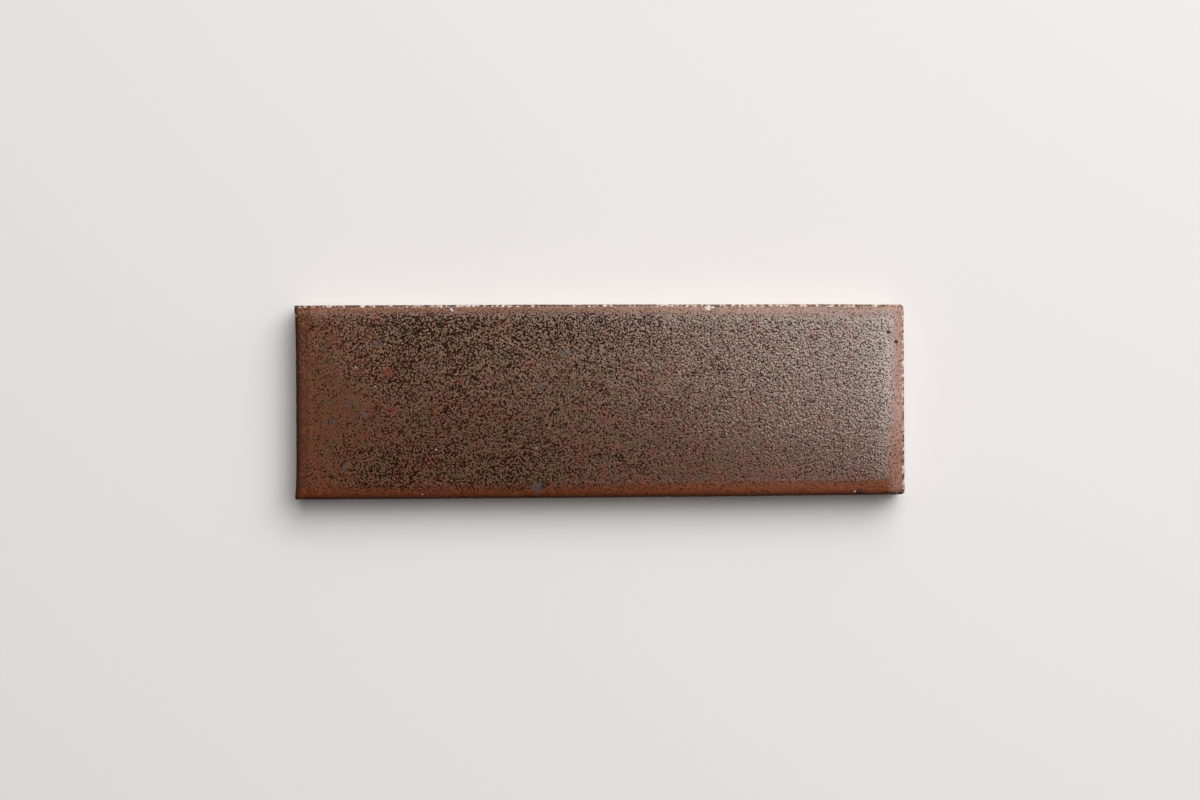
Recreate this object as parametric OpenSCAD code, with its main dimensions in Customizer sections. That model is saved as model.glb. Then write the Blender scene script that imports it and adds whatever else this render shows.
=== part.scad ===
// Glazed clay brick slip: a thin facing brick, lying on its keyed back with the glazed face up.
// X runs along the course, Y up the wall face, Z out of the wall. The origin is the middle of the back.

/* [Slip] */
// Overall length of the slip, over its left-hand corners
slip_length = 210; // [180:1:250]
// Height of the face at its left end, the taller one
face_height = 66.8; // [60:0.1:75]
// How much lower the face is at its right end
taper = 1.4; // [0:0.1:3]
// Thickness from the back to the glazed face
thickness = 15; // [12:0.5:25]

/* [Outline] */
// How far the left end is drawn in between its spread corners
end_waist = 0.6; // [0.1:0.1:1.2]
// How far each long edge bulges at the middle of its length
edge_bow = 0.2; // [0.05:0.05:0.5]
// Plan radius of the two worn right-hand corners
worn_radius = 1.3; // [0.6:0.1:2.5]
// Plan radius of the two crisp left-hand corners
crisp_radius = 0.4; // [0.2:0.1:1]

/* [Edges] */
// Width of the strip along the long edges where the face rolls over to the arris
roll_width = 3.2; // [2:0.1:5]
// Width of that strip at the two ends
end_roll_width = 2.4; // [1.8:0.1:4]
// Depth of the arris below the face, the same all round
roll_drop = 1.1; // [0.5:0.1:1.8]
// Chamfer around the back
back_chamfer = 0.7; // [0.2:0.1:1.5]

/* [Keyed back] */
// Number of dovetail grooves that key the slip to its adhesive
key_count = 4; // [2:2:4]
// Distance from one groove to the next
key_pitch = 14; // [11:0.5:15]
// Width of a groove at its mouth
key_mouth = 6.4; // [4:0.2:8]
// How far each side of a groove leans out towards its root
key_undercut = 0.5; // [0.2:0.1:1]
// Depth of a groove
key_depth = 1.8; // [1:0.1:3]

/* [Blemishes] */
// Radius of the kiln pinholes near the top right-hand corner
pinhole_radius = 0.6; // [0.3:0.05:0.9]
// Depth of the kiln pinholes
pinhole_depth = 0.7; // [0.4:0.1:1.2]

/* [Hidden] */
$fn = 48;

side_steps = 12;    // straight pieces along each side of the outline
corner_steps = 4;   // straight pieces round each corner
waist_power = 6;    // the higher, the nearer the corners the left end spreads
clearance = 2;      // how far a cutting tool runs past the clay
crossing = 0.005;   // lifts the roll's arc, so that it crosses the face instead of only touching it

half_length = slip_length / 2;
height_right = face_height - taper;
height_middle = face_height - taper / 2;
taper_angle = atan(taper / 2 / slip_length);

// Kiln pinholes in the face: [in from the right end, down from the top edge]
PINHOLES = [[5.5, 9.7], [2.8, 13]];

// Chips in the arris: [side, share of the way from the middle of the side to its end, length, depth of the bite]
CHIPS = [
    ["top", 0.371, 5.6, 1],
    ["top", -0.486, 2.6, 0.8],
    ["top", 0.695, 1.8, 0.6],
    ["top", -0.917, 1.2, 0.4],
    ["bottom", 0.848, 3.1, 0.7],
    ["bottom", -0.24, 3.2, 0.5],
    ["bottom", -0.451, 2.2, 0.6],
    ["right", 0.875, 1.4, 0.5],
    ["right", -0.655, 1.4, 0.5],
    ["right", -0.159, 1.2, 0.4],
];

// Half the height of the slip at a place along its length, with the bulge of the long edges
function half_height(x) =
    height_middle / 2 - x * tan(taper_angle) + edge_bow * (1 - pow(x / half_length, 2));

// Where the left end lies at a height y: out at the corners and drawn in between them
function left_end(y) =
    -half_length + end_waist * (1 - pow(min(1, abs(y) / (face_height / 2)), waist_power));

// A round corner of radius r about a centre, from one angle to the next
function corner(centre, r, from) =
    [for (i = [0:corner_steps]) centre + r * [cos(from + 90 * i / corner_steps), sin(from + 90 * i / corner_steps)]];

// The plan of the slip, from the lower right-hand corner round to the lower edge again
function outline_points() = let (
    right = half_length - worn_radius,
    left = -half_length + crisp_radius,
    right_y = half_height(half_length) - worn_radius,
    left_y = half_height(-half_length) - crisp_radius
) concat(
    corner([right, -right_y], worn_radius, -90),
    corner([right, right_y], worn_radius, 0),
    [for (i = [1:side_steps - 1]) let (x = right + (left - right) * i / side_steps) [x, half_height(x)]],
    corner([left, left_y], crisp_radius, 90),
    [for (i = [1:side_steps - 1]) let (y = left_y * (1 - 2 * i / side_steps)) [left_end(y), y]],
    corner([left, -left_y], crisp_radius, 180),
    [for (i = [1:side_steps - 1]) let (x = left + (right - left) * i / side_steps) [x, -half_height(x)]]
);

// Places its child at a side: the child's X points out of that side, its Y along it and its Z off the back
module at_side(side) {
    if (side == "right") translate([half_length, 0, 0]) children();
    if (side == "left") translate([-half_length + end_waist, 0, 0]) rotate([0, 0, 180]) children();
    if (side == "top") translate([0, height_middle / 2, 0]) rotate([0, 0, 90 - taper_angle]) children();
    if (side == "bottom") translate([0, -height_middle / 2, 0]) rotate([0, 0, -90 + taper_angle]) children();
}

// Runs a 2D profile along the whole of a side: the profile's X points out of the side, its Y off the back
module along_side(side) {
    run = slip_length + 2 * clearance;
    at_side(side) translate([0, run / 2, 0]) rotate([90, 0, 0]) linear_extrude(run) children();
}

// The clay that is missing above an edge that rolls over in a strip of this width
module roll_profile(width) {
    radius = (width * width + roll_drop * roll_drop) / (2 * roll_drop);
    difference() {
        translate([-width, thickness - roll_drop - clearance / 2])
            square([width + clearance, roll_drop + 1.5 * clearance]);
        translate([-width, thickness - radius + crossing]) circle(radius);
    }
}

// The clay that is missing under a back edge
module chamfer_profile() {
    polygon([[-back_chamfer, 0], [clearance, back_chamfer + clearance], [clearance, -clearance], [-back_chamfer, -clearance]]);
}

// One dovetail groove, as long as the slip
module key_groove() {
    root = key_mouth / 2 + key_undercut;
    mouth = key_mouth / 2;
    flare = key_undercut * clearance / key_depth;
    rotate([90, 0, 90]) linear_extrude(slip_length + 2 * clearance, center = true)
        polygon([[-mouth + flare, -clearance], [mouth - flare, -clearance], [root, key_depth], [-root, key_depth]]);
}

// A crater as wide and deep as its kind, opening upwards at the origin
module pinhole() {
    r = (pinhole_radius * pinhole_radius + pinhole_depth * pinhole_depth) / (2 * pinhole_depth);
    translate([0, 0, r - pinhole_depth]) sphere(r);
}

// A round bite out of the arris
module chip(side, share, length, bite) {
    r = (length * length / 4 + bite * bite) / (2 * bite);
    off = (r - bite) / sqrt(2);
    along = share * (side == "top" || side == "bottom" ? half_length : height_middle / 2);
    turned = side == "top" || side == "left" ? -along : along;
    at_side(side) translate([off, turned, thickness - roll_drop + off]) sphere(r);
}

module brick_slip() {
    color("#6b4433") difference() {
        linear_extrude(thickness) polygon(outline_points());
        for (side = ["left", "right", "top", "bottom"]) along_side(side) chamfer_profile();
        for (side = ["left", "right"]) along_side(side) roll_profile(end_roll_width);
        for (side = ["top", "bottom"]) along_side(side) roll_profile(roll_width);
        for (i = [0:key_count - 1]) translate([0, (i - (key_count - 1) / 2) * key_pitch, 0]) key_groove();
        for (p = PINHOLES) translate([half_length - p[0], height_right / 2 - p[1], thickness]) pinhole();
        for (c = CHIPS) chip(c[0], c[1], c[2], c[3]);
    }
}

brick_slip();
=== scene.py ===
"""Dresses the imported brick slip: pebbled glaze, rolled edges, nibbled arris, clay sides and keyed back.

The slip's surface is one closed mesh. Its plan, rolled edges, grooves, pinholes and chips repeat the
part's own sizes. The relief is worked by Geometry Nodes from the same noise that the material reads, so
the dark specks lie in the pits. Lengths are millimetres unless a comment says metres.
"""

import math

import bmesh
import bpy
import numpy as np
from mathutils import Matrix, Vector


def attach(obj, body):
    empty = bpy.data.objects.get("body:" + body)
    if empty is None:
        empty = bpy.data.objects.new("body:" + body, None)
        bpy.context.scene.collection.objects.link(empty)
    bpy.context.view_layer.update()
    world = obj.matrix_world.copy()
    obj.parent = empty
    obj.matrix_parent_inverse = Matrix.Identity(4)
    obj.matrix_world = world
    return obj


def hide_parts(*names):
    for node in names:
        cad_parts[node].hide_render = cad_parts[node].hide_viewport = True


MM_PER_M = 1000

# The slip's own sizes, as in the part's source
SLIP_LENGTH = 210.0
FACE_HEIGHT = 66.8
TAPER = 1.4
THICKNESS = 15.0
END_WAIST = 0.6
EDGE_BOW = 0.2
WORN_RADIUS = 1.3
CRISP_RADIUS = 0.4
ROLL_WIDTH = 3.2
END_ROLL_WIDTH = 2.4
ROLL_DROP = 1.1
BACK_CHAMFER = 0.7
KEY_PITCH = 14.0
KEY_COUNT = 4
KEY_MOUTH = 6.4
KEY_UNDERCUT = 0.5
KEY_DEPTH = 1.8
PINHOLE_RADIUS = 0.6
PINHOLE_DEPTH = 0.7
WAIST_POWER = 6
# How far along the slip its waisted left end reaches
WAIST_REACH = 14.0
HALF = SLIP_LENGTH / 2
HEIGHT_RIGHT = FACE_HEIGHT - TAPER
HEIGHT_MIDDLE = FACE_HEIGHT - TAPER / 2
ARRIS_Z = THICKNESS - ROLL_DROP
# The back's three levels, as height and inset: roots of the grooves, top and foot of the chamfer
BACK_LEVELS = [(KEY_DEPTH, 0.0), (BACK_CHAMFER, 0.0), (0.0, BACK_CHAMFER)]

# Kiln pinholes: in from the right end, down from the top edge
PINHOLES = [(5.5, 9.7), (2.8, 13.0)]
# Chips: side, share of the way from the side's middle to its end, length, depth of the bite
CHIPS = [
    ("top", 0.371, 5.6, 1.0),
    ("top", -0.486, 2.6, 0.8),
    ("top", 0.695, 1.8, 0.6),
    ("top", -0.917, 1.2, 0.4),
    ("bottom", 0.848, 3.1, 0.7),
    ("bottom", -0.24, 3.2, 0.5),
    ("bottom", -0.451, 2.2, 0.6),
    ("right", 0.875, 1.4, 0.5),
    ("right", -0.655, 1.4, 0.5),
    ("right", -0.159, 1.2, 0.4),
]

# The least radius of a corner that is inset, and how tightly the rolls of two edges run together
LEAST_RADIUS = 0.05
ROLL_BLEND = 3

# The mesh: cells along and across the face, of which some are finer at each edge, and rows down the
# sides. Across the face there are four times as many cells as across the back.
CELLS_LONG = 472
CELLS_ACROSS = 160
EDGE_CELLS = 14
EDGE_ZONE = 4.4
FINE_ROW = 0.4
SIDE_ROWS = 11
LAST_SIDE_Z = 2.8
OUTER_LAND_CELLS = 6
GROOVE_CELLS = 4
LAND_CELLS = 4
# Points that agree to this many decimals become one
MERGE_DECIMALS = 4

# Points this little below the arris still count as the face's edge
ARRIS_SLACK = 0.35
# Squares are split for the chips and pinholes: this far round each ball, and this deep below the arris
SPLIT_MARGIN = 0.5
SPLIT_DEPTH = 3.0
# Folds of the back sharper than this angle, in radians, stay crisp, up to this far above the grooves
FOLD_ANGLE = 0.45
FOLD_MARGIN = 0.3

# The face's last soft curve towards its edges: how wide it is, and how far it drops
SHOULDER_WIDTH = 8.0
SHOULDER_DROP = 0.12
RIGHT_SHOULDER_WIDTH = 10.0
RIGHT_SHOULDER_DROP = 0.33

# Relief that is worked into the mesh
PIT_DEPTH = 0.012
PEBBLE_HEIGHT = 0.03
DRAG_HEIGHT = 0.35
NIB_DEPTH = 0.32

# Finer relief in the material: the glaze's in the left half, at the upper right and at the lower right
GLAZE_BUMP = 0.032
GLAZE_BUMP_RIGHT = 0.055
GLAZE_BUMP_LOW = 0.028
SPECK_BUMP = 0.006
GLAZE_LAYER = 0.06
CLAY_BUMP = 0.14
CLAY_PIT_BUMP = 0.2

# How large the features of each noise are: what thickens the specks, the specks themselves, the
# pebbles, and the bites along the arris
SPECK_CLOUD_SIZE = 18.0
SPECK_CLUMP_SIZE = 3.0
SPECK_SIZE = 0.57
PEBBLE_SIZE = 0.62
NIB_SIZE = 1.3
# The drag marks, how they are drawn out along the slip, and the lumps that break them
DRAG_SIZE = 0.9
DRAG_STRETCH = (0.06, 1.0, 1.0)
LUMP_SIZE = 3.2
# The glaze's drifts of colour, and shifts that give a noise another pattern
RED_DRIFT_SIZE = 4.5
OLIVE_DRIFT_SIZE = 5.0
OLIVE_SHIFT = (31.0, 17.0, 5.0)
ORANGE_SIZE = 2.6
ORANGE_SHIFT = (7.0, 3.0, 9.0)
GREEN_CLOUD_SIZE = 12.0
GRIT_SIZE = 0.6
# The clay's clouds, grog, blush and grit
CLAY_CLOUD_SIZE = 18.0
GROG_SIZE = 0.9
BLUSH_SIZE = 6.0
CLAY_GRIT_SIZE = 0.5
# The clay's pits: their spacing, their radius as a share of it, the noise that bends their rims, and the
# noise that makes some large and leaves others out
PIT_SPACING = 2.1
PIT_RADIUS = 0.24
PIT_WANDER_SIZE = 1.1
PIT_PATCH_SIZE = 3.1

# Grains above this level are specks, and where specks lie thick it is this much lower
SPECK_LEVEL = 0.66
SPECK_THICKENING = 0.13
# How wide the thin glaze is along the lower and upper edges, and how far its inner rim wanders
BAND_WIDTH_LOWER = 5.1
BAND_WIDTH_UPPER = 3.9
BAND_RIM_SIZE = 2.0
BAND_RIM_RANGE = 5.5
# How far the glaze runs down the sides, and how far its end wanders
RUN_REACH = 2.2
RUN_SIZE = 8.0
RUN_RANGE = 7.5

# How rough the glaze is on the face and over the edges, and how rough the bare clay is
GLAZE_ROUGH = 0.15
BAND_ROUGH = 0.55
CLAY_ROUGH = 0.85
GLAZE_IOR = 1.7

# The photograph: its frame, where the middle of the slip lies in it, and the camera above it, in metres
FRAME_WIDTH_PX = 1200
FRAME_HEIGHT_PX = 800
SLIP_CENTRE_PX = (599.3, 401.0)
PX_PER_MM = 2.904
CAMERA_DISTANCE = 0.85
CAMERA_REACH = 20.0
CAMERA_ROLL = math.radians(-0.3)
SENSOR_WIDTH = 36.0


def srgb(red, green, blue):
    """A colour as a screen shows it, from 0 to 255, as the linear colour that the shader takes."""
    out = []
    for channel in (red, green, blue):
        c = channel / 255
        out.append(c / 12.92 if c <= 0.04045 else ((c + 0.055) / 1.055) ** 2.4)
    return (*out, 1.0)


def grey(level):
    """A plain value as a colour, for mixing."""
    return (level, level, level, 1.0)


# The outline and the surfaces of the slip


def half_height(s):
    """Half the height of the slip at a place along its length."""
    return HEIGHT_MIDDLE / 2 - s * TAPER / 2 / SLIP_LENGTH + EDGE_BOW * (1 - (s / HALF) ** 2)


def plan(s, v, inset=0.0):
    """The plan of a point, inset all round: s along the slip, v from -1 to 1 across it."""
    high = half_height(s) - inset
    half = HALF - inset
    x, y = s * half / HALF, v * high
    radius = np.maximum(np.where(s > 0, WORN_RADIUS, CRISP_RADIUS) - inset, LEAST_RADIUS)
    a = np.clip((abs(x) - half + radius) / radius, 0, 1)
    b = np.clip((abs(y) - high + radius) / radius, 0, 1)
    x = np.where(a > 0, np.sign(x) * (half - radius + radius * a * np.sqrt(1 - b * b / 2)), x)
    y = np.where(b > 0, np.sign(y) * (high - radius + radius * b * np.sqrt(1 - a * a / 2)), y)
    waist = END_WAIST * (1 - np.minimum(1, abs(y) / (FACE_HEIGHT / 2)) ** WAIST_POWER)
    return x + waist * np.clip(1 - (s + HALF) / WAIST_REACH, 0, 1) ** 2, y


def roll(distance, width):
    """How far the face has rolled down at a distance from an edge."""
    radius = (width * width + ROLL_DROP * ROLL_DROP) / (2 * ROLL_DROP)
    over = np.clip(width - distance, 0, width)
    return radius - np.sqrt(radius * radius - over * over)


def shoulder(distance, width=SHOULDER_WIDTH, drop=SHOULDER_DROP):
    """How far the face has sunk at a distance from an edge, before its roll."""
    return drop * np.clip(1 - distance / width, 0, 1) ** 2


def face_z(s, v):
    """Height of the smooth face, with the rolls of all four edges run together."""
    high = half_height(s)
    up, out = high - abs(v) * high, HALF - abs(s)
    rolls = roll(up, ROLL_WIDTH) ** ROLL_BLEND + roll(out, END_ROLL_WIDTH) ** ROLL_BLEND
    rolls = rolls ** (1 / ROLL_BLEND)
    ends = shoulder(HALF + s) + shoulder(HALF - s, RIGHT_SHOULDER_WIDTH, RIGHT_SHOULDER_DROP)
    return THICKNESS - rolls - shoulder(up) - ends


def spread(line, cells, half):
    """Where a line of the mesh lies, from -1 to 1, with finer cells in the zone along each edge."""
    edge = 1 - EDGE_ZONE / half
    return np.interp(line, [0, EDGE_CELLS, cells - EDGE_CELLS, cells], [-1, -edge, edge, 1])


def key_lines():
    """Where the grooves lie: (y of the lower mouth corner, y of the upper one) for each."""
    middles = (np.arange(KEY_COUNT) - (KEY_COUNT - 1) / 2) * KEY_PITCH
    return [(m - KEY_MOUTH / 2, m + KEY_MOUTH / 2) for m in middles]


def land_rows(s, z, inset):
    """The y of the lines along the back at a height in the grooves, land by land."""
    lean = KEY_UNDERCUT * z / KEY_DEPTH
    high = half_height(s) - inset
    sides = [-high] + [y for low, top in key_lines() for y in (low - lean, top + lean)] + [high]
    lands = []
    for k in range(KEY_COUNT + 1):
        cells = OUTER_LAND_CELLS if k in (0, KEY_COUNT) else LAND_CELLS
        lands.append(np.linspace(sides[2 * k], sides[2 * k + 1], cells + 1))
    return lands


def root_line(s):
    """The y of the lines along the slip at the depth of the grooves' roots, all in one."""
    lands = land_rows(s, KEY_DEPTH, 0.0)
    line = [lands[0]]
    for before, after in zip(lands, lands[1:]):
        line.append(np.linspace(before[-1], after[0], GROOVE_CELLS + 1)[1:-1])
        line.append(after)
    return np.concatenate(line)


class Shell:
    """Gathers patches of a closed surface. Points that coincide become one."""

    def __init__(self):
        self.points, self.faces, self.count = [], [], 0

    def add(self, points):
        points = np.asarray(points, float)
        index = np.arange(len(points.reshape(-1, 3))).reshape(points.shape[:-1]) + self.count
        self.points.append(points.reshape(-1, 3))
        self.count += index.size
        return index

    def grid(self, points):
        """Squares over rows and columns of points."""
        k = self.add(points)
        quads = np.stack([k[:-1, :-1], k[:-1, 1:], k[1:, 1:], k[1:, :-1]], -1).reshape(-1, 4)
        self.faces.extend(quads.tolist())

    def halve(self, fine, coarse):
        """Joins a closed line of points to one with half as many."""
        f, c = self.add(fine), self.add(coarse)
        for k in range(len(c)):
            after = (k + 1) % len(c)
            a, b, d = f[2 * k], f[2 * k + 1], f[(2 * k + 2) % len(f)]
            self.faces += [[a, b, c[k]], [b, c[after], c[k]], [b, d, c[after]]]

    def mesh(self, name):
        """One mesh with coinciding points merged and its faces turned outwards."""
        points = np.concatenate(self.points)
        _, first, merged = np.unique(
            np.round(points, MERGE_DECIMALS), axis=0, return_index=True, return_inverse=True
        )
        merged = merged.reshape(-1)
        data = bpy.data.meshes.new(name)
        faces = [list(dict.fromkeys(merged[f].tolist())) for f in self.faces]
        data.from_pydata(points[first].tolist(), [], [f for f in faces if len(f) > 2])
        work = bmesh.new()
        work.from_mesh(data)
        bmesh.ops.recalc_face_normals(work, faces=work.faces)
        work.to_mesh(data)
        work.free()
        return data


def rim(step):
    """The rim of the slip in steps of cells: s, v, and which line across the slip each point is on."""
    along, across = np.arange(0, CELLS_LONG, step), np.arange(0, CELLS_ACROSS, step)
    s = np.concatenate([along, CELLS_LONG + 0 * across, CELLS_LONG - along, 0 * across])
    line = np.concatenate([0 * along, across, CELLS_ACROSS + 0 * along, CELLS_ACROSS - across])
    return HALF * spread(s, CELLS_LONG, HALF), spread(line, CELLS_ACROSS, HEIGHT_MIDDLE / 2), line


def side_line(step, z, down):
    """A closed line round the sides at a height. Down, from 0 to 1, is how far its points have moved
    from the face's lines to the lines of the grooves."""
    s, v, line = rim(step)
    lines = len(root_line(0.0)) - 1
    place = line / CELLS_ACROSS * lines
    y = v * half_height(s)
    for end in (-HALF, HALF):
        met = np.interp(place, np.arange(lines + 1), root_line(end))
        y = np.where(abs(s - end) < 1e-6, y + (met - y) * down, y)
    x, y = plan(s, y / half_height(s))
    return np.stack([x, y, np.broadcast_to(z, x.shape)], -1)


def build_face(shell):
    """The glazed face with its rolled edges, down to the arris."""
    s = HALF * spread(np.arange(CELLS_LONG + 1), CELLS_LONG, HALF)[:, None]
    v = spread(np.arange(CELLS_ACROSS + 1), CELLS_ACROSS, HEIGHT_MIDDLE / 2)[None, :]
    x, y = plan(s + 0 * v, v + 0 * s)
    shell.grid(np.stack([x, y, face_z(s, v)], -1))


def build_sides(shell):
    """The sides, from the arris down to the depth of the grooves, with wider squares below."""
    s, v, _ = rim(1)
    arris = face_z(s, v)
    drop = ARRIS_Z - KEY_DEPTH
    fine = [side_line(1, arris, 0.0), side_line(1, arris - FINE_ROW, FINE_ROW / drop)]
    closed = [np.concatenate([line, line[:1]]) for line in fine]
    shell.grid(closed)
    heights = np.linspace(0, 1, SIDE_ROWS + 1)
    top = arris[::2] - 2 * FINE_ROW
    row = FINE_ROW / drop
    rows = [
        side_line(2, top + (LAST_SIDE_Z - top) * h, 2 * row + (1 - 3 * row) * h) for h in heights
    ]
    shell.halve(fine[1], rows[0])
    shell.grid([np.concatenate([line, line[:1]]) for line in rows])
    shell.halve(rows[-1], side_line(4, KEY_DEPTH, 1.0))


def back_line(s):
    """One line across the back as (y, height, inset), over its chamfers, lands and grooves."""
    root, knee, foot = [land_rows(s, z, inset) for z, inset in BACK_LEVELS]
    at_root, at_knee, at_foot = BACK_LEVELS
    out = [(root[0][0], *at_root), (knee[0][0], *at_knee)]
    for k in range(KEY_COUNT + 1):
        out += [(y, *at_foot) for y in foot[k]]
        out.append((knee[k][-1], *at_knee))
        if k < KEY_COUNT:
            line = np.linspace(root[k][-1], root[k + 1][0], GROOVE_CELLS + 1)
            out += [(y, *at_root) for y in line]
            out.append((knee[k + 1][0], *at_knee))
    out.append((root[-1][-1], *at_root))
    return out


def build_back(shell):
    """The keyed back, and the ends of its lands."""
    along = HALF * spread(np.arange(0, CELLS_LONG + 1, 4), CELLS_LONG, HALF)
    grid = []
    for s in along:
        y, z, inset = np.array(back_line(s)).T
        high = half_height(s) - inset
        x, y = plan(s + 0 * y, y / high, inset)
        grid.append(np.stack([x, y, z], -1))
    shell.grid(grid)
    for s in (-HALF, HALF):
        for k in range(KEY_COUNT + 1):
            rows = []
            for z, inset in BACK_LEVELS:
                y = land_rows(s, z, inset)[k]
                x, y = plan(s + 0 * y, y / (half_height(s) - inset), inset)
                rows.append(np.stack([x, y, z + 0 * x], -1))
            shell.grid(rows)


def chip_balls():
    """Each chip as (centre, radius, the way into the clay)."""
    balls = []
    for side, share, length, bite in CHIPS:
        radius = (length**2 / 4 + bite**2) / (2 * bite)
        off = (radius - bite) / math.sqrt(2)
        out = {"top": (0, 1), "bottom": (0, -1), "right": (1, 0)}[side]
        if side == "right":
            at = (HALF, share * HEIGHT_MIDDLE / 2)
        else:
            at = (share * HALF, out[1] * (half_height(share * HALF) - EDGE_BOW))
        centre = np.array([at[0] + out[0] * off, at[1] + out[1] * off, ARRIS_Z + off])
        way = -np.array([out[0], out[1], 1.0]) / math.sqrt(2)
        balls.append((centre, radius, way))
    return balls


def pinhole_balls():
    """Each pinhole as (centre, radius, the way into the clay)."""
    radius = (PINHOLE_RADIUS**2 + PINHOLE_DEPTH**2) / (2 * PINHOLE_DEPTH)
    down = np.array([0.0, 0.0, -1.0])
    z = THICKNESS - PINHOLE_DEPTH + radius
    return [(np.array([HALF - x, HEIGHT_RIGHT / 2 - y, z]), radius, down) for x, y in PINHOLES]


def refine(data, balls):
    """Splits the small squares where a chip or pinhole bites, so that it gets a clean rim."""
    work = bmesh.new()
    work.from_mesh(data)
    near = set()
    for centre, radius, _ in balls:
        for vert in work.verts:
            offset = np.array(vert.co) - centre
            if offset @ offset < (radius + SPLIT_MARGIN) ** 2 and vert.co.z > ARRIS_Z - SPLIT_DEPTH:
                near.update(e for f in vert.link_faces for e in f.edges)
    bmesh.ops.subdivide_edges(work, edges=list(near), cuts=1, use_grid_fill=True)
    work.to_mesh(data)
    work.free()


def bite(points, balls):
    """Pushes the points inside each ball into the clay until they lie on it."""
    for centre, radius, way in balls:
        offset = points - centre
        inside = (offset**2).sum(1) < radius**2
        p = offset[inside]
        along = p @ way
        step = -along + np.sqrt(along**2 - (p**2).sum(1) + radius**2)
        points[inside] += step[:, None] * way


def insets(points):
    """How far each point is in from the arris on the face, or minus how far it is below it."""
    x, y, z = points.T
    left = -HALF + END_WAIST * (1 - np.minimum(1, abs(y) / (FACE_HEIGHT / 2)) ** WAIST_POWER)
    inward = np.minimum(np.minimum(half_height(x) - abs(y), HALF - x), x - left)
    return np.where(z > ARRIS_Z - ARRIS_SLACK, np.maximum(inward, 0), z - ARRIS_Z)


# Node trees: one set of fields for both the relief and the material. The bare numbers of a step are the
# places, in millimetres or in a noise's own range, between which it changes, and then its two values


class Nodes:
    """Short ways to add nodes to a shader or Geometry Nodes tree."""

    def __init__(self, tree):
        self.tree = tree

    def node(self, kind, **settings):
        made = self.tree.nodes.new(kind)
        for name, value in settings.items():
            setattr(made, name, value)
        return made

    def put(self, socket, value):
        if isinstance(value, bpy.types.NodeSocket):
            self.tree.links.new(value, socket)
        elif value is not None:
            socket.default_value = value

    def math(self, operation, a, b=None, c=None):
        made = self.node("ShaderNodeMath", operation=operation)
        for socket, value in zip(made.inputs, (a, b, c)):
            self.put(socket, value)
        return made.outputs[0]

    def vector(self, operation, a, b=None):
        made = self.node("ShaderNodeVectorMath", operation=operation)
        self.put(made.inputs[0], a)
        self.put(made.inputs[1], b)
        return made.outputs[0]

    def noise(self, place, size, detail=2.0, rough=0.5):
        """Cloudy noise from 0 to 1 whose features are about this many millimetres apart."""
        made = self.node("ShaderNodeTexNoise", noise_dimensions="3D")
        for name, value in (
            ("Vector", place),
            ("Scale", 1 / size),
            ("Detail", detail),
            ("Roughness", rough),
        ):
            self.put(made.inputs[name], value)
        return made.outputs[0]

    def clouds(self, place, size):
        """Noise of three parts, for bending a place."""
        made = self.node("ShaderNodeTexNoise", noise_dimensions="3D")
        self.put(made.inputs["Vector"], place)
        self.put(made.inputs["Scale"], 1 / size)
        return made.outputs["Color"]

    def cells(self, place, size):
        """Distance to the nearest of scattered points, in cell sizes."""
        made = self.node("ShaderNodeTexVoronoi", feature="F1")
        self.put(made.inputs["Vector"], place)
        self.put(made.inputs["Scale"], 1 / size)
        return made.outputs["Distance"]

    def step(self, value, low, high, to_low=0.0, to_high=1.0):
        """Eases from to_low to to_high as the value goes from low to high."""
        made = self.node("ShaderNodeMapRange", interpolation_type="SMOOTHSTEP", clamp=True)
        for socket, given in zip(made.inputs, (value, low, high, to_low, to_high)):
            self.put(socket, given)
        return made.outputs[0]

    def mix(self, share, a, b):
        made = self.node("ShaderNodeMix", data_type="RGBA")
        self.put(made.inputs["Factor"], share)
        self.put(made.inputs[6], a)
        self.put(made.inputs[7], b)
        return made.outputs[2]

    def parts(self, vector):
        made = self.node("ShaderNodeSeparateXYZ")
        self.put(made.inputs[0], vector)
        return made.outputs

    def spot(self, place, x, y, radius, soft):
        """1 within a radius of a point of the face, in millimetres, fading over soft."""
        xyz = self.parts(place)
        made = self.node("ShaderNodeCombineXYZ")
        self.put(made.inputs[0], self.math("SUBTRACT", xyz[0], x))
        self.put(made.inputs[1], self.math("SUBTRACT", xyz[1], y))
        length = self.node("ShaderNodeVectorMath", operation="LENGTH")
        self.put(length.inputs[0], made.outputs[0])
        return self.step(length.outputs["Value"], radius - soft, radius + soft, 1.0, 0.0)


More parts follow.
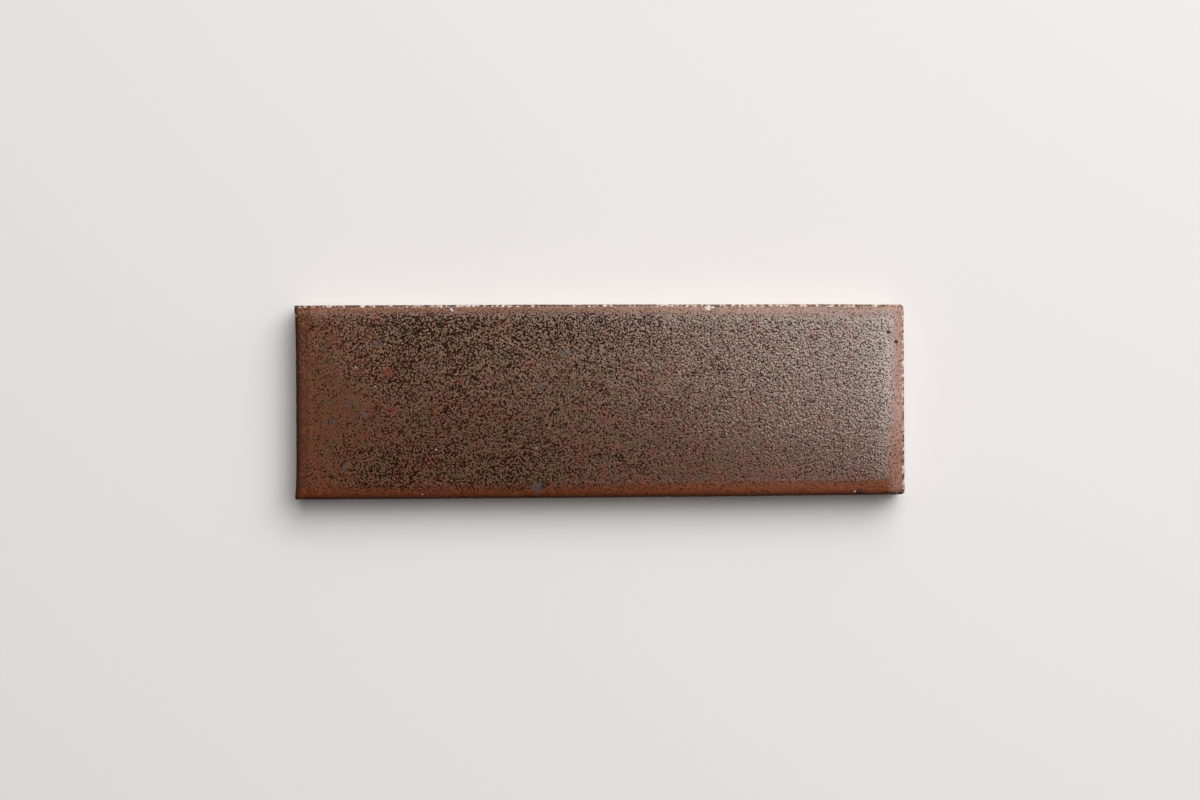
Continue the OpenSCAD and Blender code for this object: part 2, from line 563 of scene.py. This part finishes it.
def shared_fields(n, place, inset):
    """The fields that the relief and the material share. Place and inset are in millimetres."""
    x, y, _ = n.parts(place)
    face = n.step(inset, -0.1, 0.25)
    # Where specks lie thick: few at the left end and in the edge bands, most above and below the middle
    # of the left half, and fewer to the right
    broad = n.math("SUBTRACT", n.noise(place, SPECK_CLOUD_SIZE, 2.0), 0.5)
    clumps = n.math("SUBTRACT", n.noise(place, SPECK_CLUMP_SIZE, 2.0, 0.6), 0.5)
    clumps = n.math("MULTIPLY", clumps, 1.7)
    amount = n.math("ADD", n.step(x, -104, -66, 0.15, 1.0), n.math("ADD", broad, clumps))
    off_middle = n.math("MAXIMUM", n.step(y, -6, 26), n.step(y, -8, -26))
    amount = n.math("MULTIPLY_ADD", n.math("MULTIPLY", off_middle, n.step(x, 10, -40)), 0.35, amount)
    amount = n.math("MULTIPLY", amount, n.step(n.math("MULTIPLY_ADD", y, -0.5, x), -30, 75, 1.0, 0.5))
    amount = n.math("MULTIPLY", amount, n.step(inset, 1.2, 4.2))
    grain = n.noise(place, SPECK_SIZE, 0.8, 0.5)
    level = n.math("MULTIPLY_ADD", amount, -SPECK_THICKENING, SPECK_LEVEL)
    dark = n.step(n.math("SUBTRACT", grain, level), -0.03, 0.03)
    pebble = n.noise(place, PEBBLE_SIZE, 0.5, 0.4)
    # Ragged bites along the arris, slighter at the left end
    ragged = n.noise(place, NIB_SIZE, 3.0, 0.65)
    near = n.step(n.math("ABSOLUTE", inset), 0.2, 1.1, 1.0, 0.0)
    near = n.math("MULTIPLY", near, n.step(x, -104.2, -102.5, 0.2, 1.0))
    nib = n.math("MULTIPLY", n.step(ragged, 0.5, 0.66), near)
    return {
        "face": face,
        "amount": amount,
        "dark": dark,
        "grain": grain,
        "pebble": pebble,
        "ragged": ragged,
        "nib": nib,
    }


def drag_field(n, place):
    """Fine lines along the slip from the die, broken by grit."""
    stretched = n.vector("MULTIPLY", place, DRAG_STRETCH)
    lines = n.noise(stretched, DRAG_SIZE, 3.0, 0.6)
    lumps = n.noise(place, LUMP_SIZE, 3.0, 0.55)
    return n.math("ADD", n.math("MULTIPLY", lines, 0.6), n.math("MULTIPLY", lumps, 0.4))


def relief_group():
    """Moves points along their normals: pits and pebbles on the face, bites, and drag marks."""
    tree = bpy.data.node_groups.new("slip_relief", "GeometryNodeTree")
    tree.interface.new_socket("Geometry", in_out="INPUT", socket_type="NodeSocketGeometry")
    tree.interface.new_socket("Geometry", in_out="OUTPUT", socket_type="NodeSocketGeometry")
    n = Nodes(tree)
    start, end = n.node("NodeGroupInput"), n.node("NodeGroupOutput")
    place = n.vector("SCALE", n.node("GeometryNodeInputPosition").outputs[0])
    place.node.inputs["Scale"].default_value = MM_PER_M
    inset = n.node("GeometryNodeInputNamedAttribute", data_type="FLOAT")
    inset.inputs["Name"].default_value = "inset"
    fields = shared_fields(n, place, inset.outputs[0])
    pits = n.math("MULTIPLY", n.step(fields["grain"], 0.45, 0.68), -PIT_DEPTH)
    pebbles = n.math("MULTIPLY", n.math("SUBTRACT", fields["pebble"], 0.5), PEBBLE_HEIGHT)
    flatter = n.step(inset.outputs[0], 0.3, 4.0, 0.35, 1.0)
    face = n.math("MULTIPLY", n.math("ADD", pits, pebbles), flatter)
    drag = n.math("MULTIPLY", n.math("SUBTRACT", drag_field(n, place), 0.5), DRAG_HEIGHT)
    # The lands of the back stay level: nothing stands out below them
    lands = n.step(n.parts(place)[2], 0.5, 0.1)
    drag = n.math("SUBTRACT", drag, n.math("MULTIPLY", lands, n.math("MAXIMUM", drag, 0.0)))
    drag = n.math("MULTIPLY", drag, n.math("SUBTRACT", 1.0, fields["face"]))
    height = n.math("ADD", n.math("MULTIPLY", face, fields["face"]), drag)
    height = n.math("MULTIPLY_ADD", fields["nib"], -NIB_DEPTH, height)
    offset = n.vector("SCALE", n.node("GeometryNodeInputNormal").outputs[0])
    n.put(offset.node.inputs["Scale"], n.math("MULTIPLY", height, 1 / MM_PER_M))
    move = n.node("GeometryNodeSetPosition")
    tree.links.new(start.outputs[0], move.inputs["Geometry"])
    tree.links.new(offset, move.inputs["Offset"])
    tree.links.new(move.outputs[0], end.inputs[0])
    return tree


# Colours of the glaze between its specks: at the left end, then a copy darkened as painted shade below
# and one lightened as painted sheen above
RUST_BROWN = srgb(97, 54, 33)
BROWN_SHADED = srgb(88, 53, 37)
BROWN_SHEEN = srgb(102, 71, 51)
# Its lighter grains, darkened as painted shade below and lightened as painted sheen above, and its broad
# drifts
LIGHT_GRAIN_SHADED = srgb(108, 75, 53)
LIGHT_GRAIN_SHEEN = srgb(142, 110, 89)
RED_PATCH = srgb(114, 50, 38)
OLIVE_PATCH = srgb(88, 72, 40)
# Pale colour mixed in at the right end: painted sheen
PAINTED_SHEEN_PALE = srgb(200, 185, 172)
# The specks, and their greener clouds
SPECK = srgb(34, 11, 4)
SPECK_GREEN = srgb(28, 18, 7)
# Thin glaze over the rolled edges, with painted sheen on the upper band towards the right end and on the
# right end's band, where it fades downwards
BAND_UPPER = srgb(122, 80, 59)
BAND_UPPER_SHEEN = srgb(157, 122, 104)
BAND_LOWER = srgb(104, 51, 27)
BAND_LOWER_RIGHT = srgb(126, 67, 43)
BAND_LEFT = srgb(88, 50, 36)
BAND_RIGHT_SHEEN = srgb(174, 130, 115)
BAND_RIGHT_LOW_LESS_SHEEN = srgb(158, 114, 97)
ORANGE = srgb(132, 72, 34)
CREAM_GRAIN = srgb(168, 132, 114)
# Single marks of the firing, painted shade for the pinholes, and a dark for the chips that is partly
# painted shade
IRON_BLUE = srgb(80, 74, 79)
RED_SPOT = srgb(120, 42, 36)
WHITE_SPECK = srgb(205, 195, 190)
PINHOLE_SHADE = srgb(22, 14, 11)
CHIP_DARK_AND_SHADE = srgb(62, 46, 50)
# The arris: pale where glaze has flaked, partly painted glints, and dark, which also serves as painted
# shade at the lower and left arrises and as the dark glaze bead
CREAM_AND_GLINT = srgb(222, 210, 202)
ARRIS_DARK_AND_SHADE = srgb(48, 28, 21)
# Bare clay, its paler and darker parts, the blush under the glaze, and painted shade in its pits
CLAY = srgb(172, 153, 136)
CLAY_PALE = srgb(198, 182, 166)
CLAY_DARK = srgb(139, 116, 99)
CLAY_BLUSH = srgb(150, 110, 86)
CLAY_PIT_SHADE = srgb(74, 54, 44)
# The board that the slip lies on
FLOOR = srgb(229, 225, 224)

# Marks of the firing on the face: x and y in millimetres from the middle, and a radius
IRON_SPOTS = [
    (-76.2, 20.2, 1.5),
    (-94.4, 18.6, 0.9),
    (-80.7, -4.0, 1.2),
    (-87.5, -22.4, 1.2),
    (-20.3, 5.0, 1.2),
    (-11.7, 16.6, 1.3),
    (-86.0, -0.4, 0.9),
    (-91.8, -6.8, 0.8),
    (-21.3, -29.6, 2.0),
]
RED_SPOTS = [
    (-76.5, 28.6, 1.6),
    (-72.5, 10.4, 1.8),
    (-47.8, 7.5, 1.4),
    (-71.2, -2.8, 1.6),
    (-94.0, -27.0, 1.4),
]
WHITE_SPECKS = [
    (-83.6, 12.2, 0.24),
    (-77.0, 5.4, 0.18),
    (-20.6, 21.2, 0.24),
    (-56.2, -16.4, 0.28),
    (-21.8, -16.0, 0.2),
    (3.4, -22.4, 0.2),
    (-61.0, -31.8, 0.2),
    (-40.0, 18.0, 0.16),
    (-50.4, 31.4, 0.35),
    (87.8, -31.5, 0.32),
]
# Pale spots in the larger chips of the arris, painted highlights on their lit rims over bare pale clay,
# and dark spots in them, partly painted shade and partly dark core
PALE_CHIPS_AND_GLINTS = [(37.6, 32.0, 1.0), (-50.9, 31.9, 0.4)]
DARK_CHIPS_AND_SHADE = [(39.4, 32.9, 0.9), (-51.6, 32.8, 1.0), (89.7, -31.6, 1.1), (-9.0, -32.8, 0.8)]


# The material, in layers


def spots(n, place, places, soft, ragged):
    """Marks at (x, y, radius) as one field. Soft and ragged say how its rims fade and wander."""
    total = None
    for x, y, radius in places:
        mark = n.spot(place, x, y, radius, soft * radius)
        total = mark if total is None else n.math("MAXIMUM", total, mark)
    uneven = n.math("MULTIPLY", n.math("SUBTRACT", n.noise(place, 0.9, 2.0, 0.6), 0.5), 2 * ragged)
    return n.step(n.math("ADD", total, n.math("MULTIPLY", uneven, total)), 0.3, 0.75)


def plain_glaze(n, place, fields):
    """The glaze between its specks, rusty at the left end, with painted sheen that lightens it towards
    the top and right; and how far up the face a point is, which sets that painted sheen.
    """
    x, y, _ = n.parts(place)
    # Lighter towards the top and right: painted sheen, as the softbox lies that way
    painted_sheen_upward = n.step(n.math("MULTIPLY_ADD", x, 0.13, y), -28.0, 28.0)
    base = n.mix(n.step(x, -104, -50), RUST_BROWN, n.mix(painted_sheen_upward, BROWN_SHADED, BROWN_SHEEN))
    # More light grains towards the right: painted glints on the pebbles there, besides the real light
    # grains
    grain_and_glint_share = n.math("MAXIMUM", n.step(fields["amount"], 0.2, 1.0, 0.3, 0.85), n.step(x, 0, 60, 0.0, 0.8))
    light = n.math("MULTIPLY", n.step(fields["grain"], 0.5, 0.36), grain_and_glint_share)
    base = n.mix(light, base, n.mix(painted_sheen_upward, LIGHT_GRAIN_SHADED, LIGHT_GRAIN_SHEEN))
    # Broad drifts of red and olive
    drift = n.noise(place, RED_DRIFT_SIZE, 2.0, 0.6)
    base = n.mix(n.step(drift, 0.53, 0.7, 0.0, 0.5), base, RED_PATCH)
    drift = n.noise(n.vector("ADD", place, OLIVE_SHIFT), OLIVE_DRIFT_SIZE, 2.0, 0.6)
    base = n.mix(n.step(drift, 0.5, 0.68, 0.0, 0.55), base, OLIVE_PATCH)
    # Painted sheen towards the right end, fading downwards
    painted_sheen_veil = n.math("MULTIPLY", n.step(x, 84, 97, 0.0, 0.13), n.step(y, -22, 14))
    painted_sheen_veil = n.math("MULTIPLY_ADD", n.step(x, 96.5, 101, 0.0, 0.14), n.step(y, -24, 6), painted_sheen_veil)
    return n.mix(painted_sheen_veil, base, PAINTED_SHEEN_PALE), painted_sheen_upward


def thin_glaze(n, place, inset, base, painted_sheen_upward):
    """The face's colour with the thin rusty glaze of the rolled edges over it, and where that lies."""
    x, y, _ = n.parts(place)
    uneven = n.math("SUBTRACT", n.noise(place, BAND_RIM_SIZE, 4.0, 0.65), 0.5)
    rim_place = n.math("ADD", inset, n.math("MULTIPLY", uneven, BAND_RIM_RANGE))
    width = n.step(y, -30, 30, BAND_WIDTH_LOWER, BAND_WIDTH_UPPER)
    band = n.step(n.math("SUBTRACT", rim_place, width), -2.3, 1.8, 1.0, 0.0)
    # Dull at the left end and pale at the right one: on the upper band the paleness is painted sheen, and
    # the right end's band is paler glaze with painted sheen that fades downwards
    upper_band_with_sheen = n.mix(n.step(x, -35, 50), BAND_UPPER, BAND_UPPER_SHEEN)
    lower = n.mix(n.step(x, -30, 100), BAND_LOWER, BAND_LOWER_RIGHT)
    rust = n.mix(n.step(y, -15, 15), lower, upper_band_with_sheen)
    between = n.step(n.math("ABSOLUTE", y), 31.5, 29.0)
    rust = n.mix(n.math("MULTIPLY", n.step(x, -98.5, -101.0), between), rust, BAND_LEFT)
    right = n.mix(n.step(y, -26, -2), BAND_RIGHT_LOW_LESS_SHEEN, BAND_RIGHT_SHEEN)
    rust = n.mix(n.step(x, 98.5, 101.0), rust, right)
    tint = n.noise(n.vector("ADD", place, ORANGE_SHIFT), ORANGE_SIZE, 3.0, 0.6)
    rust = n.mix(n.step(tint, 0.5, 0.68, 0.0, 0.45), rust, ORANGE)
    base = n.mix(n.math("MULTIPLY", band, 0.9), base, rust)
    # Dark and pale grit; the pale grit fades out towards the bottom, painted sheen that follows the light
    grit = n.noise(place, GRIT_SIZE, 2.0, 0.6)
    base = n.mix(n.math("MULTIPLY", n.step(grit, 0.5, 0.66, 0.0, 0.6), band), base, SPECK)
    pale = n.mix(painted_sheen_upward, rust, CREAM_GRAIN)
    base = n.mix(n.math("MULTIPLY", n.step(grit, 0.47, 0.34, 0.0, 0.6), band), base, pale)
    # Painted shade where the roll comes to the lower and left arrises, which face away from the light
    shaded = n.math("MAXIMUM", n.step(y, -20, -30), n.step(x, -98, -102))
    foot = n.math("MULTIPLY", n.step(inset, 2.0, 0.3), shaded)
    return n.mix(n.math("MULTIPLY", foot, 0.6), base, ARRIS_DARK_AND_SHADE), band


def marked(n, place, base):
    """A colour with the single marks of the firing, painted shade in the pinholes, and the larger chips'
    painted highlights and partly shaded dark spots over it.
    """
    layers = [
        (spots(n, place, RED_SPOTS, 1.0, 2.2), 0.45, RED_SPOT),
        (spots(n, place, IRON_SPOTS, 1.0, 2.2), 0.5, IRON_BLUE),
        (spots(n, place, WHITE_SPECKS, 0.5, 0.2), 0.85, WHITE_SPECK),
    ]
    # The pinholes are darkened with painted shade
    for (across, down), share in zip(PINHOLES, (0.75, 0.95)):
        hole = n.spot(place, HALF - across, HEIGHT_RIGHT / 2 - down, PINHOLE_RADIUS, 0.25)
        layers.append((hole, share, PINHOLE_SHADE))
    # The larger chips: pale painted highlights on their lit rims, and dark spots that are partly painted
    # shade
    layers.append((spots(n, place, PALE_CHIPS_AND_GLINTS, 0.8, 1.0), 0.8, CREAM_AND_GLINT))
    layers.append((spots(n, place, DARK_CHIPS_AND_SHADE, 0.8, 1.0), 0.7, CHIP_DARK_AND_SHADE))
    # Each layer is where it lies, how strongly it covers, and its colour
    for where, share, colour in layers:
        base = n.mix(n.math("MULTIPLY", where, share), base, colour)
    return base


def flaked(n, place, at_arris, ragged, base):
    """A colour with flakes along the arris: pale above and at the right end, where they are partly
    painted glints on the lit arris, and dark between and below, partly painted shade.
    """
    x, y, _ = n.parts(place)
    lit_arris_sides = n.math("MAXIMUM", n.step(y, 28.0, 31.0), n.step(x, 100.0, 103.0))
    pale = n.math("MULTIPLY", n.math("MULTIPLY", n.step(ragged, 0.53, 0.58), at_arris), lit_arris_sides)
    dark_flakes_and_shade = n.math("MULTIPLY", n.step(ragged, n.step(lit_arris_sides, 0, 1, 0.56, 0.49), 0.38), at_arris)
    glaze = n.mix(n.math("MULTIPLY", dark_flakes_and_shade, 0.8), base, ARRIS_DARK_AND_SHADE)
    return n.mix(n.math("MULTIPLY", pale, 0.9), glaze, CREAM_AND_GLINT)


def bare_clay(n, place, above):
    """Buff clay with grog, drag marks and pits darkened with painted shade, flashed with rust under the
    glaze; and its pits.
    """
    cloud = n.noise(place, CLAY_CLOUD_SIZE, 5.0, 0.65)
    clay = n.mix(n.step(cloud, 0.4, 0.68, 0.0, 0.8), CLAY, CLAY_DARK)
    clay = n.mix(n.step(drag_field(n, place), 0.5, 0.68, 0.0, 0.3), clay, CLAY_PALE)
    grog = n.noise(place, GROG_SIZE, 4.0, 0.75)
    clay = n.mix(n.step(grog, 0.53, 0.64, 0.0, 0.5), clay, CLAY_DARK)
    clay = n.mix(n.step(grog, 0.46, 0.36, 0.0, 0.6), clay, CLAY_PALE)
    patchy = n.step(n.noise(place, BLUSH_SIZE, 3.0, 0.6), 0.35, 0.62, 0.1, 0.6)
    clay = n.mix(n.math("MULTIPLY", n.step(above, -3.0, -0.2), patchy), clay, CLAY_BLUSH)
    wander = n.vector("ADD", place, n.vector("SCALE", n.clouds(place, PIT_WANDER_SIZE)))
    size = n.step(n.noise(place, PIT_PATCH_SIZE, 1.0), 0.42, 0.68)
    size = n.math("MULTIPLY", size, PIT_RADIUS)
    pits = n.step(n.math("SUBTRACT", n.cells(wander, PIT_SPACING), size), -0.07, 0.02, 1.0, 0.0)
    return n.mix(n.math("MULTIPLY", pits, 0.7), clay, CLAY_PIT_SHADE), pits


def dullness(n, place, inset, dark, band):
    """Where the glaze has less sheen: its specks, the lower and left edges, inside the upper one."""
    x, y, _ = n.parts(place)
    shaded = n.math("MAXIMUM", n.step(y, 0, -20, 0.2, 0.85), n.step(x, -85, -98, 0.0, 0.9))
    inner = n.math("MULTIPLY", n.step(inset, 0.8, 1.8, 0.2, 0.75), n.step(x, 75, 5, 0.3, 1.0))
    shaded = n.math("MAXIMUM", shaded, n.math("MULTIPLY", inner, n.step(y, 10, 25)))
    strip = n.math("MAXIMUM", n.step(y, -18, -26), n.step(x, -97, -100))
    strip = n.math("MULTIPLY", n.step(inset, 6.5, 4.5), strip)
    dull = n.math("MULTIPLY", n.math("MAXIMUM", band, strip), shaded)
    return n.math("MAXIMUM", n.math("MULTIPLY", dark, 0.9), dull)


def surface_height(n, place, fields, pits, glazed):
    """The finer relief: pebbled glaze with sunken specks, and gritty pitted clay a little lower."""
    x, y, _ = n.parts(place)
    pebbled = n.step(x, -30, 60, GLAZE_BUMP, n.step(y, -28, 2, GLAZE_BUMP_LOW, GLAZE_BUMP_RIGHT))
    glaze = n.math("MULTIPLY", fields["pebble"], pebbled)
    glaze = n.math("MULTIPLY_ADD", fields["dark"], -SPECK_BUMP, glaze)
    glaze = n.math("ADD", glaze, GLAZE_LAYER)
    clay = n.math("MULTIPLY", n.noise(place, CLAY_GRIT_SIZE, 3.0, 0.65), CLAY_BUMP)
    clay = n.math("ADD", clay, n.math("MULTIPLY", pits, -CLAY_PIT_BUMP))
    clay = n.math("MULTIPLY", clay, n.math("SUBTRACT", 1.0, glazed))
    return n.math("ADD", n.math("MULTIPLY", glaze, glazed), clay)


def glazed_clay():
    """Brown speckled glaze, thin and rusty over the edges, and bare buff clay on the sides and back."""
    material = bpy.data.materials.new("glazed_clay")
    material.use_nodes = True
    tree = material.node_tree
    tree.nodes.clear()
    n = Nodes(tree)
    output = n.node("ShaderNodeOutputMaterial")
    shader = n.node("ShaderNodeBsdfPrincipled")
    tree.links.new(shader.outputs[0], output.inputs[0])
    place = n.vector("SCALE", n.node("ShaderNodeTexCoord").outputs["Object"])
    place.node.inputs["Scale"].default_value = MM_PER_M
    inset = n.node("ShaderNodeAttribute", attribute_name="inset").outputs["Fac"]
    fields = shared_fields(n, place, inset)

    base, painted_sheen_upward = plain_glaze(n, place, fields)
    base, band = thin_glaze(n, place, inset, base, painted_sheen_upward)
    # Specks, greener in broad clouds and fainter to the right
    greener = n.step(n.noise(place, GREEN_CLOUD_SIZE, 1.0), 0.45, 0.6)
    speck = n.mix(greener, SPECK, SPECK_GREEN)
    strength = n.step(n.parts(place)[0], 10, 80, 0.95, 0.8)
    base = n.mix(n.math("MULTIPLY", fields["dark"], strength), base, speck)
    base = marked(n, place, base)
    at_arris = n.math("MULTIPLY", n.step(inset, -0.8, -0.3), n.step(inset, 1.1, 0.5))
    glaze = flaked(n, place, at_arris, fields["ragged"], base)

    # The glaze runs a little way over the arris, to a darker bead
    uneven = n.math("SUBTRACT", n.noise(place, RUN_SIZE, 1.5, 0.4), 0.5)
    run = n.math("MULTIPLY_ADD", uneven, -RUN_RANGE, -RUN_REACH)
    above = n.math("SUBTRACT", inset, run)
    glazed = n.step(above, -0.2, 0.2)
    bead = n.math("MULTIPLY", n.step(above, 0.9, 0.3, 0.0, 0.5), n.step(inset, -0.3, -0.9))
    glaze = n.mix(bead, glaze, ARRIS_DARK_AND_SHADE)
    clay, pits = bare_clay(n, place, above)
    n.put(shader.inputs["Base Color"], n.mix(glazed, clay, glaze))

    # Glossy on the face, duller over the edges, matt where the clay is bare
    rough = n.mix(band, grey(GLAZE_ROUGH), grey(BAND_ROUGH))
    rough = n.mix(at_arris, rough, grey(CLAY_ROUGH))
    n.put(shader.inputs["Roughness"], n.mix(glazed, grey(CLAY_ROUGH), rough))
    shader.inputs["IOR"].default_value = GLAZE_IOR
    dull = dullness(n, place, inset, fields["dark"], band)
    n.put(shader.inputs["Specular IOR Level"], n.math("MULTIPLY_ADD", dull, -0.5, 0.5))

    bump = n.node("ShaderNodeBump")
    bump.inputs["Strength"].default_value = 1.0
    bump.inputs["Distance"].default_value = 1 / MM_PER_M
    n.put(bump.inputs["Height"], surface_height(n, place, fields, pits, glazed))
    tree.links.new(bump.outputs[0], shader.inputs["Normal"])
    return material


def build_slip():
    """The whole slip as one closed mesh, its relief worked in."""
    shell = Shell()
    build_face(shell)
    build_sides(shell)
    build_back(shell)
    data = shell.mesh("brick_slip_glazed")
    balls = chip_balls() + pinhole_balls()
    refine(data, balls)
    points = np.zeros(len(data.vertices) * 3)
    data.vertices.foreach_get("co", points)
    points = points.reshape(-1, 3)
    inset = insets(points)
    bite(points, balls)
    data.vertices.foreach_set("co", (points / MM_PER_M).ravel())
    attribute = data.attributes.new("inset", "FLOAT", "POINT")
    attribute.data.foreach_set("value", inset.astype(np.float32))
    data.shade_smooth()
    data.update()
    slip = bpy.data.objects.new("glazed_slip", data)
    bpy.context.scene.collection.objects.link(slip)
    work = slip.modifiers.new("relief", "NODES")
    work.node_group = relief_group()
    depsgraph = bpy.context.evaluated_depsgraph_get()
    worked = bpy.data.meshes.new_from_object(slip.evaluated_get(depsgraph))
    slip.modifiers.clear()
    slip.data = worked
    sharpen_back(worked)
    worked.materials.clear()
    worked.materials.append(glazed_clay())
    return slip


def sharpen_back(data):
    """Keeps the folds of the keyed back crisp."""
    work = bmesh.new()
    work.from_mesh(data)
    for edge in work.edges:
        low = max(v.co.z for v in edge.verts) < (KEY_DEPTH + FOLD_MARGIN) / MM_PER_M
        if low and len(edge.link_faces) == 2 and edge.calc_face_angle() > FOLD_ANGLE:
            edge.smooth = False
    work.to_mesh(data)
    work.free()


# The floor: half its width in metres, and its finish
FLOOR_HALF = 3.0
FLOOR_ROUGH = 0.9
FLOOR_SHEEN = 0.1


def build_floor():
    """A large sheet of off-white board."""
    data = bpy.data.meshes.new("floor")
    corners = [(-FLOOR_HALF, -FLOOR_HALF, 0), (FLOOR_HALF, -FLOOR_HALF, 0)]
    corners += [(FLOOR_HALF, FLOOR_HALF, 0), (-FLOOR_HALF, FLOOR_HALF, 0)]
    data.from_pydata(corners, [], [(0, 1, 2, 3)])
    floor = bpy.data.objects.new("floor", data)
    bpy.context.scene.collection.objects.link(floor)
    material = bpy.data.materials.new("board")
    material.use_nodes = True
    shader = material.node_tree.nodes["Principled BSDF"]
    shader.inputs["Base Color"].default_value = FLOOR
    shader.inputs["Roughness"].default_value = FLOOR_ROUGH
    shader.inputs["Specular IOR Level"].default_value = FLOOR_SHEEN
    data.materials.append(material)


# The softbox: the way it lies from the slip, turned from +X and leaning from overhead, in radians, its
# distance and size in metres, and its power in watts
LIGHT_TURN = math.radians(53)
LIGHT_LEAN = math.radians(33)
LIGHT_DISTANCE = 2.2
LIGHT_WIDTH = 2.0
LIGHT_DEPTH = 2.25
LIGHT_POWER = 64
# The room's brightness on the side of the softbox, and overhead and on the other side
ROOM_LIGHT = 0.5
ROOM_DARK = 0.07


def build_light():
    """One large softbox above and to the upper right, facing the slip."""
    light = bpy.data.lights.new("softbox", "AREA")
    light.shape = "RECTANGLE"
    light.size, light.size_y = LIGHT_WIDTH, LIGHT_DEPTH
    light.energy = LIGHT_POWER
    lamp = bpy.data.objects.new("softbox", light)
    level = math.sin(LIGHT_LEAN)
    way = Vector((level * math.cos(LIGHT_TURN), level * math.sin(LIGHT_TURN), math.cos(LIGHT_LEAN)))
    lamp.location = way * LIGHT_DISTANCE
    lamp.rotation_euler = way.to_track_quat("Z", "Y").to_euler()
    bpy.context.scene.collection.objects.link(lamp)


def build_world():
    """A plain room, brighter on the side of the softbox."""
    world = bpy.data.worlds.new("studio")
    bpy.context.scene.world = world
    world.use_nodes = True
    n = Nodes(world.node_tree)
    background = world.node_tree.nodes["Background"]
    background.inputs[0].default_value = (1.0, 1.0, 1.0, 1.0)
    facing = n.node("ShaderNodeVectorMath", operation="DOT_PRODUCT")
    n.put(facing.inputs[0], n.node("ShaderNodeTexCoord").outputs["Generated"])
    n.put(facing.inputs[1], (math.cos(LIGHT_TURN), math.sin(LIGHT_TURN), 0.0))
    n.put(background.inputs[1], n.step(facing.outputs["Value"], 0.0, 1.0, ROOM_DARK, ROOM_LIGHT))


def build_camera():
    """Straight above the slip, framed and turned as the photograph is."""
    camera = bpy.data.cameras.new("camera")
    camera.sensor_width = SENSOR_WIDTH
    camera.sensor_fit = "HORIZONTAL"
    frame_width = FRAME_WIDTH_PX / PX_PER_MM / MM_PER_M
    camera.lens = SENSOR_WIDTH * CAMERA_DISTANCE / frame_width
    camera.clip_end = CAMERA_REACH
    eye = bpy.data.objects.new("camera", camera)
    right = (FRAME_WIDTH_PX / 2 - SLIP_CENTRE_PX[0]) / PX_PER_MM / MM_PER_M
    up = (SLIP_CENTRE_PX[1] - FRAME_HEIGHT_PX / 2) / PX_PER_MM / MM_PER_M
    eye.location = (right, up, ARRIS_Z / MM_PER_M + CAMERA_DISTANCE)
    eye.rotation_euler = (0, 0, CAMERA_ROLL)
    bpy.context.scene.collection.objects.link(eye)
    bpy.context.scene.camera = eye


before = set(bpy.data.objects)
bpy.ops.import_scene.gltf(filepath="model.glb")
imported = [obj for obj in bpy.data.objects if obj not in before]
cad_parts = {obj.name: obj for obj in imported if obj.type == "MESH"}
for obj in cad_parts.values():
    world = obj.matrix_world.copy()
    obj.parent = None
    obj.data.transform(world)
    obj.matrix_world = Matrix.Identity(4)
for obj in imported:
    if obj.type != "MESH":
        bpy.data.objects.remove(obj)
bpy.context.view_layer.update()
bpy.context.scene.view_settings.view_transform = "Standard"
build_camera()
build_light()
build_world()
build_floor()
slip = build_slip()
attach(slip, "root")
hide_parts("brick_slip")
